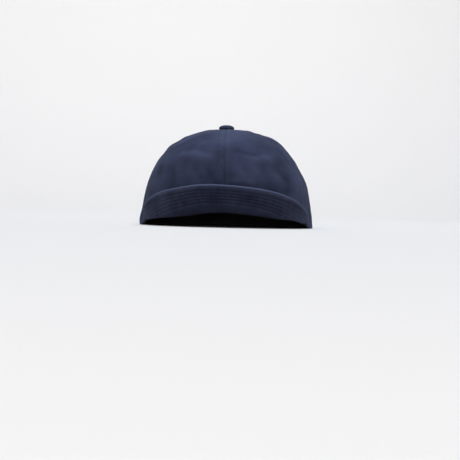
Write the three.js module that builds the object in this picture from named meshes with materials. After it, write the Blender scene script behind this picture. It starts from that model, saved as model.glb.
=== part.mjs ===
// Six-panel cotton cap with a short stitched brim turned up in front of the crown.
// Millimetres, +Z up. The cap rests on its hem on the plane z = 0 and faces -Y.
// A turn is an angle in degrees round the crown: 0 at the front seam, plus towards +X.
import * as THREE from 'three';

// Driving dimensions of the crown
const crownHalfWidth = 90.4;
const crownHalfDepth = 99;
const crownHeight = 101.7;
const crownLean = -2.5;
const crownWall = 1.6;
const leftSeamTurn = 66;
const rightSeamTurn = 62;
const rearSeamTurn = 121;
const seamMargin = 2.6;
const seamDip = 0.6;
const dentDepth = 1.6;
const topOpeningRadius = 5.5;

// Clearance that neighbouring pieces keep
const pieceGap = 0.3;

// Driving dimensions of the brim
const brimReach = 30;
const brimThickness = 2.7;
const brimHalfTurn = 62.4;
const brimFrontLean = 37;
const brimEndLean = 6;
const brimFoldRadius = 0.5;
const brimCornerRadius = 5;

// Driving dimensions of the hem's arch over the brim
const hemArchRise = 14.7;
const hemStepDelay = 2;
const hemStepTurn = 11;

// Driving dimensions of the sweatband
const bandHeight = 30;
const bandThickness = 1;
const bandRecess = 0.5;

// Driving dimensions of the top button
const buttonRadius = 8;
const buttonHeight = 4.9;
const buttonEdgeHeight = 1.3;

// Shares: how much the seams stand out as the corners of a flat-sided dome, and how wide
// the button's flat base is beside its whole width
const seamRidge = 0.02;
const buttonBase = 0.93;

// Powers: how long the brim keeps its front lean towards its ends, and how full the
// button's dome is
const leanFullness = 0.8;
const domeFullness = 0.8;

// Fineness of the meshes
const panelColumns = 15;
const panelRows = 18;
const brimStations = 40;
const brimFoldSteps = 4;
const brimBoardSteps = 3;
const brimEdgeSteps = 5;
const bandRows = 4;
const buttonSides = 24;
const buttonDomeSteps = 7;

// Sections of the crown from the hem to the apex. rise is a share of crownHeight,
// left and right are shares of crownHalfWidth, front and back of crownHalfDepth.
const sections = [
  { rise: 0, left: 1.011, right: 1.003, front: 1, back: 1 },
  { rise: 0.155, left: 0.989, right: 0.989, front: 0.997, back: 0.99 },
  { rise: 0.311, left: 0.954, right: 0.966, front: 0.985, back: 0.962 },
  { rise: 0.466, left: 0.907, right: 0.924, front: 0.958, back: 0.92 },
  { rise: 0.602, left: 0.834, right: 0.845, front: 0.91, back: 0.855 },
  { rise: 0.718, left: 0.746, right: 0.765, front: 0.85, back: 0.77 },
  { rise: 0.825, left: 0.632, right: 0.663, front: 0.755, back: 0.665 },
  { rise: 0.913, left: 0.468, right: 0.531, front: 0.6, back: 0.52 },
  { rise: 0.971, left: 0.293, right: 0.338, front: 0.395, back: 0.33 },
  { rise: 0.993, left: 0.172, right: 0.24, front: 0.22, back: 0.195 },
  { rise: 1, left: 0, right: 0, front: 0, back: 0 },
];

// Soft dents and swells of the cloth. turn and turnReach are degrees, rise and riseReach
// are shares of crownHeight, and out is a share of dentDepth, minus where it sinks in.
const dents = [
  { name: 'right front crease', turn: 18, rise: 0.79, turnReach: 9, riseReach: 0.05, out: -0.8 },
  { name: 'right front swell', turn: 31, rise: 0.7, turnReach: 9, riseReach: 0.05, out: 0.7 },
  { name: 'left front ridge', turn: -28, rise: 0.75, turnReach: 14, riseReach: 0.06, out: 0.7 },
  { name: 'left front hollow', turn: -13, rise: 0.58, turnReach: 10, riseReach: 0.11, out: -1 },
  { name: 'left side fold', turn: -46, rise: 0.5, turnReach: 5, riseReach: 0.16, out: -0.8 },
  { name: 'left side roll', turn: -56, rise: 0.53, turnReach: 6, riseReach: 0.15, out: 0.6 },
  { name: 'right shoulder crease', turn: 72, rise: 0.67, turnReach: 7, riseReach: 0.06, out: 0.7 },
  { name: 'right side hollow', turn: 47, rise: 0.55, turnReach: 9, riseReach: 0.1, out: -0.6 },
  { name: 'left shoulder corner', turn: -86, rise: 0.81, turnReach: 12, riseReach: 0.05, out: 0.8 },
  { name: 'right shoulder corner', turn: 84, rise: 0.87, turnReach: 14, riseReach: 0.04, out: 0.7 },
  { name: 'left hem roll', turn: -87, rise: 0.08, turnReach: 14, riseReach: 0.07, out: 0.8 },
  { name: 'back hollow', turn: 160, rise: 0.45, turnReach: 12, riseReach: 0.12, out: -0.8 },
  { name: 'back roll', turn: -145, rise: 0.6, turnReach: 12, riseReach: 0.09, out: 0.6 },
];

// The brim's form at even steps across it. share is a share of brimHalfTurn from the front
// seam, fold is the height of the fold's underside as a share of hemArchRise, and reach is
// the board's depth as a share of brimReach. The last row at each end lies past the brim.
const brimForm = [
  { share: -1.2, fold: 0, reach: 0.22 },
  { share: -1, fold: 0.36, reach: 0.4 },
  { share: -0.8, fold: 0.51, reach: 0.617 },
  { share: -0.6, fold: 0.599, reach: 0.82 },
  { share: -0.4, fold: 0.721, reach: 0.965 },
  { share: -0.2, fold: 0.925, reach: 1.022 },
  { share: 0, fold: 1, reach: 1 },
  { share: 0.2, fold: 0.908, reach: 0.97 },
  { share: 0.4, fold: 0.782, reach: 0.88 },
  { share: 0.6, fold: 0.636, reach: 0.725 },
  { share: 0.8, fold: 0.558, reach: 0.505 },
  { share: 1, fold: 0.34, reach: 0.275 },
  { share: 1.2, fold: 0, reach: 0.08 },
];

const apex = sections.length - 1;
const panelSeams = [-180, -rearSeamTurn, -leftSeamTurn, 0, rightSeamTurn, rearSeamTurn, 180];
const hemStepStart = brimHalfTurn + hemStepDelay;

function radians(degrees) {
  return THREE.MathUtils.degToRad(degrees);
}

// One row beyond the end of a table, so that its curve runs out straight there
function rowBeyond(end, next) {
  const row = {};
  for (const column of Object.keys(end)) row[column] = 2 * end[column] - next[column];
  return row;
}

// The row beyond the apex mirrors the one before it, so that the crown's curve crosses the
// apex level
function rowPastApex() {
  const row = rowBeyond(sections[apex], sections[apex - 1]);
  return { ...row, rise: sections[apex - 1].rise };
}

const crownKnots = [rowBeyond(sections[0], sections[1]), ...sections, rowPastApex()];
const brimKnots = [
  rowBeyond(brimForm[0], brimForm[1]),
  ...brimForm,
  rowBeyond(brimForm.at(-1), brimForm.at(-2)),
];

// A table's values at a place between its rows, on a smooth curve through them. The table
// has a row more at each end than the curve.
function smoothTable(table, along) {
  const row = THREE.MathUtils.clamp(Math.floor(along), 0, table.length - 4);
  const t = along - row;
  const result = {};
  for (const column of Object.keys(table[0])) {
    const [a, b, c, d] = table.slice(row, row + 4).map((knot) => knot[column]);
    const slope = (c - a) * t;
    const square = (2 * a - 5 * b + 4 * c - d) * t * t;
    const cube = (3 * b - a - 3 * c + d) * t * t * t;
    result[column] = 0.5 * (2 * b + slope + square + cube);
  }
  return result;
}

// The crown's section at a place along the table of sections
function sectionAt(along) {
  return smoothTable(crownKnots, along);
}

// 0 at the middle of a panel and 1 at its seams, as on a flat gore between two seams
function seamShare(turn) {
  const around = THREE.MathUtils.euclideanModulo(turn + 180, 360) - 180;
  const index = Math.max(panelSeams.findIndex((seam) => seam > around), 1);
  const middle = (panelSeams[index] + panelSeams[index - 1]) / 2;
  const half = (panelSeams[index] - panelSeams[index - 1]) / 2;
  return (1 / Math.cos(radians(around - middle)) - 1) / (1 / Math.cos(radians(half)) - 1);
}

function dentAt(turn, rise) {
  let out = 0;
  for (const dent of dents) {
    const away = THREE.MathUtils.euclideanModulo(turn - dent.turn + 180, 360) - 180;
    const across = away / dent.turnReach;
    const up = (rise - dent.rise) / dent.riseReach;
    out += dentDepth * dent.out * Math.exp(-across * across - up * up);
  }
  return out;
}

function smoothCrown(turn, along) {
  const section = sectionAt(along);
  const angle = radians(turn);
  const side = Math.sin(angle) < 0 ? section.left : section.right;
  const end = Math.cos(angle) > 0 ? section.front : section.back;
  const ridge = 1 + seamRidge * section.rise * section.rise * seamShare(turn);
  const x = crownHalfWidth * side * Math.sin(angle) * ridge + crownLean * section.rise;
  const y = -crownHalfDepth * end * Math.cos(angle) * ridge;
  return new THREE.Vector3(x, y, crownHeight * section.rise);
}

function crownNormal(turn, along) {
  const round = smoothCrown(turn + 0.2, along).sub(smoothCrown(turn - 0.2, along));
  const up = smoothCrown(turn, along + 0.02).sub(smoothCrown(turn, along - 0.02));
  return round.cross(up).normalize();
}

// A point of the dented cloth, set in from its outer face by inset
function crownPoint(turn, along, inset) {
  const out = dentAt(turn, sectionAt(along).rise) - inset;
  return smoothCrown(turn, along).addScaledVector(crownNormal(turn, along), out);
}

// The place along the sections where a measure that falls towards the apex reaches a value
function alongWhere(measure, value) {
  let low = 0;
  let high = apex;
  for (let step = 0; step < 40; step += 1) {
    const middle = (low + high) / 2;
    if (measure(middle) > value) low = middle;
    else high = middle;
  }
  return (low + high) / 2;
}

function alongAtHeight(height) {
  return alongWhere((along) => -crownHeight * sectionAt(along).rise, -height);
}

function alongAtRadius(turn, radius) {
  const reach = (along) => {
    const point = smoothCrown(turn, along);
    return Math.hypot(point.x - crownLean, point.y);
  };
  return alongWhere(reach, radius);
}

// The brim's form at a turn from the front seam, and the same past its ends as at them
function brimFormAt(turn) {
  const [first, second] = brimForm;
  const along = (turn / brimHalfTurn - first.share) / (second.share - first.share);
  return smoothTable(brimKnots, THREE.MathUtils.clamp(along, 0, brimForm.length - 1));
}

// Height of the underside of the brim's fold: an arch, highest in front
function foldHeight(turn) {
  return hemArchRise * brimFormAt(turn).fold;
}

// Height of the crown's hem: above the brim's fold in front, down on the plane behind
function hemHeight(turn) {
  const lifted = foldHeight(turn) + brimThickness + pieceGap;
  const past = (Math.abs(turn) - hemStepStart) / hemStepTurn;
  return lifted * (1 - THREE.MathUtils.smoothstep(past, 0, 1));
}

function turnPerMillimetre(turn, along) {
  return 1 / smoothCrown(turn + 0.5, along).distanceTo(smoothCrown(turn - 0.5, along));
}

// Turns of a panel's columns at one row: its two edges, the margins beside the seams,
// and even columns between. Low down, one moves to where the hem starts to step down
function columnTurns(fromTurn, toTurn, rowShare) {
  const alongAt = (turn) => {
    const hem = alongAtHeight(hemHeight(turn));
    return hem + rowShare * (alongAtRadius(turn, topOpeningRadius) - hem);
  };
  const fromScale = turnPerMillimetre(fromTurn, alongAt(fromTurn));
  const toScale = turnPerMillimetre(toTurn, alongAt(toTurn));
  const start = fromTurn + (pieceGap / 2) * fromScale;
  const end = toTurn - (pieceGap / 2) * toScale;
  const widest = (end - start) / 6;
  const first = start + Math.min(seamMargin * fromScale, widest);
  const last = end - Math.min(seamMargin * toScale, widest);
  const turns = [start];
  const inner = panelColumns - 3;
  for (let column = 0; column <= inner; column += 1) {
    turns.push(first + ((last - first) * column) / inner);
  }
  turns.push(end);
  for (const step of [-hemStepStart, hemStepStart]) {
    const column = Math.round(1 + (inner * (step - fromTurn)) / (toTurn - fromTurn));
    if (column < 2 || column > inner) continue;
    turns[column] = THREE.MathUtils.lerp(step, turns[column], 1 - (1 - rowShare) ** 2);
  }
  return turns.map((turn) => ({ turn, along: alongAt(turn) }));
}

// A closed body from an outer and an inner grid of points, open or running all the way round
function shellGeometry(outer, inner, closedRound) {
  const rows = outer.length;
  const columns = outer[0].length;
  const points = [...outer.flat(), ...inner.flat()];
  const indices = [];
  const at = (side, row, column) => side * rows * columns + row * columns + (column % columns);
  const quad = (a, b, c, d) => indices.push(a, b, c, a, c, d);
  const spans = closedRound ? columns : columns - 1;
  for (let row = 0; row < rows - 1; row += 1) {
    for (let column = 0; column < spans; column += 1) {
      const [r, c] = [row + 1, column + 1];
      quad(at(0, row, column), at(0, row, c), at(0, r, c), at(0, r, column));
      quad(at(1, row, column), at(1, r, column), at(1, r, c), at(1, row, c));
    }
  }
  const top = rows - 1;
  for (let column = 0; column < spans; column += 1) {
    const c = column + 1;
    quad(at(0, 0, column), at(1, 0, column), at(1, 0, c), at(0, 0, c));
    quad(at(0, top, column), at(0, top, c), at(1, top, c), at(1, top, column));
  }
  const right = columns - 1;
  for (let row = 0; row < rows - 1 && !closedRound; row += 1) {
    const r = row + 1;
    quad(at(0, row, 0), at(0, r, 0), at(1, r, 0), at(1, row, 0));
    quad(at(0, row, right), at(1, row, right), at(1, r, right), at(0, r, right));
  }
  return new THREE.BufferGeometry().setFromPoints(points).setIndex(indices);
}

// One sewn panel: its edges thin down beside the seams, and its hem is cut level
function panelGeometry(fromTurn, toTurn) {
  const outer = [];
  const inner = [];
  for (let row = 0; row < panelRows; row += 1) {
    const places = columnTurns(fromTurn, toTurn, row / (panelRows - 1));
    const edges = [0, places.length - 1];
    outer.push(places.map(({ turn, along }, column) => {
      return crownPoint(turn, along, edges.includes(column) ? seamDip : 0);
    }));
    inner.push(places.map(({ turn, along }) => crownPoint(turn, along, crownWall)));
    if (row > 0) continue;
    places.forEach(({ turn }, column) => {
      outer[0][column].z = hemHeight(turn);
      inner[0][column].z = hemHeight(turn);
    });
  }
  return shellGeometry(outer, inner, false);
}

// Depth of the brim's board at a share from -1 to 1 of its half turn, with rounded corners
function brimReachAt(share) {
  const turn = share * brimHalfTurn;
  const fromEnd = ((1 - Math.abs(share)) * brimHalfTurn) / turnPerMillimetre(turn, 0);
  const intoCorner = THREE.MathUtils.clamp(1 - fromEnd / brimCornerRadius, 0, 1);
  const cutAway = brimCornerRadius * (1 - Math.sqrt(1 - intoCorner * intoCorner));
  return brimReach * brimFormAt(turn).reach - cutAway;
}

// Middle line of the brim's section at a share from -1 to 1 of its half turn, as places out
// from the crown's hem and up from the fold's underside: it passes under the hem, folds up
// outside it and leans out
function brimMiddleLine(share) {
  const frontness = Math.max(Math.cos((share * Math.PI) / 2), 0) ** leanFullness;
  const lean = THREE.MathUtils.lerp(brimEndLean, brimFrontLean, frontness);
  const reach = brimReachAt(share);
  const radius = brimFoldRadius + brimThickness / 2;
  const line = [{ out: -crownWall, up: brimThickness / 2, angle: 90 }];
  for (let step = 0; step <= brimFoldSteps; step += 1) {
    const angle = THREE.MathUtils.lerp(90, lean, step / brimFoldSteps);
    const out = pieceGap + radius * Math.cos(radians(angle));
    const up = brimThickness / 2 + radius * (1 - Math.sin(radians(angle)));
    line.push({ out, up, angle });
  }
  const root = line[line.length - 1];
  for (let step = 1; step <= brimBoardSteps; step += 1) {
    const length = (reach * step) / brimBoardSteps;
    const out = root.out + length * Math.sin(radians(lean));
    const up = root.up + length * Math.cos(radians(lean));
    line.push({ out, up, angle: lean });
  }
  return line;
}

// The closed section round the middle line, with a rounded outer edge
function brimRing(share) {
  const half = brimThickness / 2;
  const line = brimMiddleLine(share);
  const offset = ({ out, up, angle }, round) => {
    const facing = radians(angle + round);
    return { out: out + half * Math.cos(facing), up: up - half * Math.sin(facing) };
  };
  const tip = line[line.length - 1];
  const edge = [];
  for (let step = 1; step < brimEdgeSteps; step += 1) {
    edge.push(offset(tip, (-180 * step) / brimEdgeSteps));
  }
  const outside = line.map((place) => offset(place, 0));
  const inside = line.map((place) => offset(place, 180)).reverse();
  return [...outside, ...edge, ...inside];
}

function brimGeometry() {
  const rings = [];
  for (let station = 0; station < brimStations; station += 1) {
    const share = Math.sin(Math.PI * (station / (brimStations - 1) - 0.5));
    const turn = share * brimHalfTurn;
    const along = alongAtHeight(hemHeight(turn));
    const hem = crownPoint(turn, along, 0);
    const outward = crownNormal(turn, along).setZ(0).normalize();
    rings.push(brimRing(share).map(({ out, up }) => {
      return hem.clone().addScaledVector(outward, out).setZ(foldHeight(turn) + up);
    }));
  }
  const size = rings[0].length;
  const indices = [];
  const quad = (a, b, c, d) => indices.push(a, b, c, a, c, d);
  for (let station = 0; station < brimStations - 1; station += 1) {
    for (let place = 0; place < size; place += 1) {
      const here = station * size;
      const next = here + size;
      const after = (place + 1) % size;
      quad(here + place, next + place, next + after, here + after);
    }
  }
  const last = (brimStations - 1) * size;
  for (let place = 0; place < size / 2 - 1; place += 1) {
    const across = size - 1 - place;
    quad(place, place + 1, across - 1, across);
    quad(last + place, last + across, last + across - 1, last + place + 1);
  }
  return new THREE.BufferGeometry().setFromPoints(rings.flat()).setIndex(indices);
}

// The sweatband lines the hem all the way round, a clearance inside the panels, and its
// folds stand at the same turns as theirs
function bandGeometry() {
  const faceInset = crownWall + pieceGap;
  const turns = [];
  for (let panel = 0; panel < panelSeams.length - 1; panel += 1) {
    const places = columnTurns(panelSeams[panel], panelSeams[panel + 1], 0);
    turns.push(panelSeams[panel], ...places.slice(1, -1).map(({ turn }) => turn));
  }
  const outer = [];
  const inner = [];
  for (let row = 0; row < bandRows; row += 1) {
    const above = bandRecess + (bandHeight * row) / (bandRows - 1);
    const places = turns.map((turn) => ({ turn, height: hemHeight(turn) + above }));
    const face = (inset) => places.map(({ turn, height }) => {
      return crownPoint(turn, alongAtHeight(height), inset).setZ(height);
    });
    outer.push(face(faceInset));
    inner.push(face(faceInset + bandThickness));
  }
  return shellGeometry(outer, inner, true);
}

// The covered button: a flat base, a rolled edge and a low dome, turned about the apex
function buttonGeometry() {
  const base = crownHeight + pieceGap;
  const profile = [new THREE.Vector2(0, base)];
  profile.push(new THREE.Vector2(buttonRadius * buttonBase, base));
  for (let step = 0; step < buttonDomeSteps; step += 1) {
    const angle = (Math.PI / 2) * (step / buttonDomeSteps);
    const radius = buttonRadius * Math.cos(angle) ** domeFullness;
    const height = buttonEdgeHeight + (buttonHeight - buttonEdgeHeight) * Math.sin(angle);
    profile.push(new THREE.Vector2(radius, base + height));
  }
  profile.push(new THREE.Vector2(0, base + buttonHeight));
  const button = new THREE.LatheGeometry(profile, buttonSides).rotateX(Math.PI / 2);
  return button.translate(crownLean, 0, 0);
}

const cap = new THREE.Group();

function addPiece(name, geometry, color, roughness) {
  const material = new THREE.MeshStandardMaterial({ color, roughness, metalness: 0 });
  const mesh = new THREE.Mesh(geometry, material);
  mesh.name = name;
  cap.add(mesh);
}

const panelNames = ['back_left', 'side_left', 'front_left', 'front_right', 'side_right', 'back_right'];
const panelColours = ['#3d435c', '#40465f', '#434962', '#434962', '#40465f', '#3d435c'];
panelNames.forEach((name, index) => {
  const geometry = panelGeometry(panelSeams[index], panelSeams[index + 1]);
  addPiece(`crown_panel_${name}`, geometry, panelColours[index], 0.9);
});
addPiece('brim', brimGeometry(), '#2c2f41', 0.88);
addPiece('sweatband', bandGeometry(), '#141317', 0.95);
addPiece('top_button', buttonGeometry(), '#464d67', 0.88);

// The origin lies at the bottom centre of the whole cap
const size = new THREE.Box3().setFromObject(cap);
const centre = size.getCenter(new THREE.Vector3());
cap.position.set(-centre.x, -centre.y, -size.min.z);

export default cap;
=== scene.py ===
import math

import bmesh
import bpy
import numpy as np
from mathutils import Matrix, Vector, noise


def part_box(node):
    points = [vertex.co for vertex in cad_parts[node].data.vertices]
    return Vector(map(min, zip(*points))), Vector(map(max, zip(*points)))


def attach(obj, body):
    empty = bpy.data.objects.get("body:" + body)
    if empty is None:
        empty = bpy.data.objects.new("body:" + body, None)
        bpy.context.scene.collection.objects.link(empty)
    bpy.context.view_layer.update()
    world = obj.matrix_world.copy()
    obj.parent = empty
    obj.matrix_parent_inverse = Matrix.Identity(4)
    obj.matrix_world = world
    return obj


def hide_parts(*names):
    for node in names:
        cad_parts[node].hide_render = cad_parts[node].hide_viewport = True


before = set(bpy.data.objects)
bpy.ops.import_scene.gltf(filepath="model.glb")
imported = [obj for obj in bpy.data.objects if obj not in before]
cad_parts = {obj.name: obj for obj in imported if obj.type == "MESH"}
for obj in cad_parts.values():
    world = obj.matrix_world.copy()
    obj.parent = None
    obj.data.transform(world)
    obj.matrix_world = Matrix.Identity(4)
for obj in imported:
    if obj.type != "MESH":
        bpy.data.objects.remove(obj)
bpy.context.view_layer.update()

# The crown: six gores of washed navy cotton twill, cut from one bolt and sewn edge to edge.
# Each seam allowance is pressed open and topstitched down on both sides, and the hem is
# turned up and stitched round. A turn is in degrees from the front seam, plus towards +X.
MM = 0.001
PIECE_GAP = 0.3 * MM
CLOTH_WALL = 1.6 * MM
SEAM_TURNS = np.array([-180.0, -121.0, -66.0, 0.0, 62.0, 121.0, 180.0])
PANEL_NAMES = ["back_left", "side_left", "front_left", "front_right", "side_right", "back_right"]

# How far the crown's top leans towards +X
CROWN_LEAN = -2.5 * MM

# rise is a share of the crown's height, the others of its half width and half depth
CROWN_SECTIONS = np.array([
    # rise, left, right, front, back
    (0.0, 1.011, 1.003, 1.0, 1.0),
    (0.155, 0.989, 0.989, 0.997, 0.99),
    (0.311, 0.954, 0.966, 0.985, 0.962),
    (0.466, 0.907, 0.924, 0.958, 0.92),
    (0.602, 0.834, 0.845, 0.91, 0.855),
    (0.718, 0.746, 0.765, 0.85, 0.77),
    (0.825, 0.632, 0.663, 0.755, 0.665),
    (0.913, 0.468, 0.531, 0.6, 0.52),
    (0.971, 0.293, 0.338, 0.395, 0.33),
    (0.993, 0.172, 0.24, 0.22, 0.195),
    (1.0, 0.0, 0.0, 0.0, 0.0),
])
button_low, button_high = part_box("top_button")
TOP_X = (button_low.x + button_high.x) / 2
CROWN_X = TOP_X - CROWN_LEAN
CROWN_Y = (button_low.y + button_high.y) / 2
CROWN_HEIGHT = button_low.z - PIECE_GAP
HALF_WIDTH = (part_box("crown_panel_side_right")[1].x - CROWN_X) / CROWN_SECTIONS[0, 2]
HALF_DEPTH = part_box("crown_panel_back_left")[1].y - CROWN_Y
APEX = len(CROWN_SECTIONS) - 1
BELOW_HEM = 2 * CROWN_SECTIONS[0] - CROWN_SECTIONS[1]
PAST_APEX = CROWN_SECTIONS[-2] * np.array([1, -1, -1, -1, -1])
CROWN_KNOTS = np.vstack([BELOW_HEM, CROWN_SECTIONS, PAST_APEX])

# How far a seam stands out from a round section at the crown's top, as a share
SEAM_RIDGE = 0.02

# Soft dents and swells: where they are, how far they reach, and how far they stand out
DENTS = [
    # turn, rise, reach in turn, reach in rise, out
    (18, 0.79, 9, 0.05, -1.28 * MM),
    (31, 0.7, 9, 0.05, 1.12 * MM),
    (-28, 0.75, 14, 0.06, 1.12 * MM),
    (-13, 0.58, 10, 0.11, -1.6 * MM),
    (-46, 0.5, 5, 0.16, -1.28 * MM),
    (-56, 0.53, 6, 0.15, 0.96 * MM),
    (72, 0.67, 7, 0.06, 1.12 * MM),
    (47, 0.55, 9, 0.1, -0.96 * MM),
    (-86, 0.81, 12, 0.05, 1.28 * MM),
    (84, 0.87, 14, 0.04, 1.12 * MM),
    (-87, 0.08, 14, 0.07, 1.28 * MM),
    (160, 0.45, 12, 0.12, -1.28 * MM),
    (-145, 0.6, 12, 0.09, 0.96 * MM),
]


def smooth(value, low, high):
    """0 below low, 1 above high, with a soft climb between them."""
    share = np.clip((value - low) / (high - low), 0, 1)
    return share * share * (3 - 2 * share)


def bell(apart, width):
    return np.exp(-((apart / width) ** 2))


def wrapped(turn):
    """A turn brought between -180 and 180 degrees."""
    return (turn + 180) % 360 - 180


def smooth_table(knots, along):
    """A smooth curve through the rows of a table, which has one more row at each end."""
    row = np.clip(np.floor(along).astype(int), 0, len(knots) - 4)
    t = (along - row)[..., None]
    a, b, c, d = (knots[row + k] for k in range(4))
    cube = (3 * b - a - 3 * c + d) * t**3
    return 0.5 * (2 * b + (c - a) * t + (2 * a - 5 * b + 4 * c - d) * t**2 + cube)


def crown_section(along):
    return smooth_table(CROWN_KNOTS, along)


def seam_share(turn):
    """0 in the middle of a gore and 1 at its seams, as on a flat gore between two seams."""
    around = wrapped(turn)
    index = np.clip(np.searchsorted(SEAM_TURNS, around, side="right"), 1, len(PANEL_NAMES))
    middle = (SEAM_TURNS[index] + SEAM_TURNS[index - 1]) / 2
    half = (SEAM_TURNS[index] - SEAM_TURNS[index - 1]) / 2
    bow = 1 / np.cos(np.radians(around - middle)) - 1
    return bow / (1 / np.cos(np.radians(half)) - 1)


def crown_form(turn, along):
    """The crown's smooth form, before its dents and seams. Along counts the rows of
    CROWN_SECTIONS up from the hem."""
    rise, left, right, front, back = np.moveaxis(crown_section(along), -1, 0)
    sine, cosine = np.sin(np.radians(turn)), np.cos(np.radians(turn))
    ridge = 1 + SEAM_RIDGE * rise * rise * seam_share(turn)
    x = HALF_WIDTH * np.where(sine < 0, left, right) * sine * ridge
    y = -HALF_DEPTH * np.where(cosine > 0, front, back) * cosine * ridge
    return np.stack([CROWN_X + CROWN_LEAN * rise + x, CROWN_Y + y, CROWN_HEIGHT * rise], -1)


TURN_NUDGE = 0.2
ALONG_NUDGE = 0.02


def crown_normal(turn, along):
    round_crown = crown_form(turn + TURN_NUDGE, along) - crown_form(turn - TURN_NUDGE, along)
    up_crown = crown_form(turn, along + ALONG_NUDGE) - crown_form(turn, along - ALONG_NUDGE)
    normal = np.cross(round_crown, up_crown)
    return normal / np.linalg.norm(normal, axis=-1, keepdims=True)


def dented(turn, along):
    """How far the soft dents and swells move the cloth outward."""
    rise = crown_section(along)[..., 0]
    out = np.zeros_like(rise)
    for dent_turn, dent_rise, turn_reach, rise_reach, depth in DENTS:
        across = wrapped(turn - dent_turn) / turn_reach
        out += depth * np.exp(-(across**2) - ((rise - dent_rise) / rise_reach) ** 2)
    return out


def crumple(points, size, seed):
    """Even noise from -1 to 1 at places a size apart, the same every time."""
    places = (np.asarray(points) / size + seed).reshape(-1, 3).tolist()
    values = np.array([noise.noise(place) for place in places])
    return values.reshape(np.shape(points)[:-1])


# The hem is level behind and at the sides, and arches up over the brim's fold in front
BRIM_THICKNESS = 2.7 * MM
BRIM_HALF_TURN = 62.4
HEM_ARCH_RISE = 14.7 * MM
HEM_PAST_BRIM = 2.0
HEM_STEP_TURN = 11.0

# share of the brim's half turn, fold height as a share of the arch, and the board's depth
# as a share of its full depth
BRIM_FORM = np.array([
    # share, fold, reach
    (-1.2, 0.0, 0.22),
    (-1.0, 0.36, 0.4),
    (-0.8, 0.51, 0.617),
    (-0.6, 0.599, 0.82),
    (-0.4, 0.721, 0.965),
    (-0.2, 0.925, 1.022),
    (0.0, 1.0, 1.0),
    (0.2, 0.908, 0.97),
    (0.4, 0.782, 0.88),
    (0.6, 0.636, 0.725),
    (0.8, 0.558, 0.505),
    (1.0, 0.34, 0.275),
    (1.2, 0.0, 0.08),
])
BEFORE_BRIM = 2 * BRIM_FORM[0] - BRIM_FORM[1]
PAST_BRIM = 2 * BRIM_FORM[-1] - BRIM_FORM[-2]
BRIM_KNOTS = np.vstack([BEFORE_BRIM, BRIM_FORM, PAST_BRIM])


def brim_form(turn):
    along = (turn / BRIM_HALF_TURN - BRIM_FORM[0, 0]) / (BRIM_FORM[1, 0] - BRIM_FORM[0, 0])
    return smooth_table(BRIM_KNOTS, np.clip(along, 0, len(BRIM_FORM) - 1))


def fold_height(turn):
    return HEM_ARCH_RISE * brim_form(turn)[..., 1]


def hem_height(turn):
    lifted = fold_height(turn) + BRIM_THICKNESS + PIECE_GAP
    past = np.abs(turn) - (BRIM_HALF_TURN + HEM_PAST_BRIM)
    return lifted * (1 - smooth(past, 0, HEM_STEP_TURN))


HEIGHT_SAMPLES = 2001
HEIGHT_STEPS = np.linspace(0, APEX, HEIGHT_SAMPLES)
HEIGHTS = CROWN_HEIGHT * crown_section(HEIGHT_STEPS)[:, 0]

# The cloth between two rows of CROWN_SECTIONS near the hem
ROW_PITCH = 16.2 * MM


def along_at_height(height):
    return np.interp(height, HEIGHTS, HEIGHT_STEPS)


def above_hem(turn, along):
    """Metres of cloth up from the hem."""
    return (along - along_at_height(hem_height(turn))) * ROW_PITCH


def per_degree(turn, along):
    """Metres of cloth in one degree of turn."""
    step = crown_form(turn + 0.5, along) - crown_form(turn - 0.5, along)
    return np.linalg.norm(step, axis=-1)


# How sewing shapes the cloth: a groove where the gores meet, the swell of the allowances
# folded under them, the sunk rows of stitches, and puckers that the thread draws up
GROOVE_DEPTH = 0.12 * MM
GROOVE_WIDTH = 0.4 * MM
RIGHT_SWELL = 0.28 * MM
LEFT_SWELL = 0.16 * MM
SWELL_START = 0.9 * MM
SWELL_END = (4.0 * MM, 6.0 * MM)
TOPSTITCH = 3.2 * MM
TOPSTITCH_SINK = 0.18 * MM
TOPSTITCH_SINK_WIDTH = 0.5 * MM
SEAM_PUCKER = 0.3 * MM
SEAM_PUCKER_LENGTH = 5.0 * MM
SEAM_PUCKER_WIDTH = 16.0 * MM
SEAM_PUCKER_REACH = 9.0 * MM
PUCKER_START = (0.2 * MM, 1.6 * MM)
OTHER_SIDE_APART = 3.1
SEAM_REACH = 24.0 * MM
HEM_SWELL = 0.22 * MM
HEM_TURN_UP = (6.2 * MM, 8.5 * MM)
HEM_STITCH = 6.0 * MM
HEM_SINK = 0.26 * MM
HEM_SINK_WIDTH = 0.55 * MM
HEM_PUCKER = 0.22 * MM
HEM_PUCKERS_PER_DEGREE = 0.33
HEM_PUCKER_WIDTH = 14.0 * MM
HEM_PUCKER_END = (5.0 * MM, 14.0 * MM)


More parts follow.
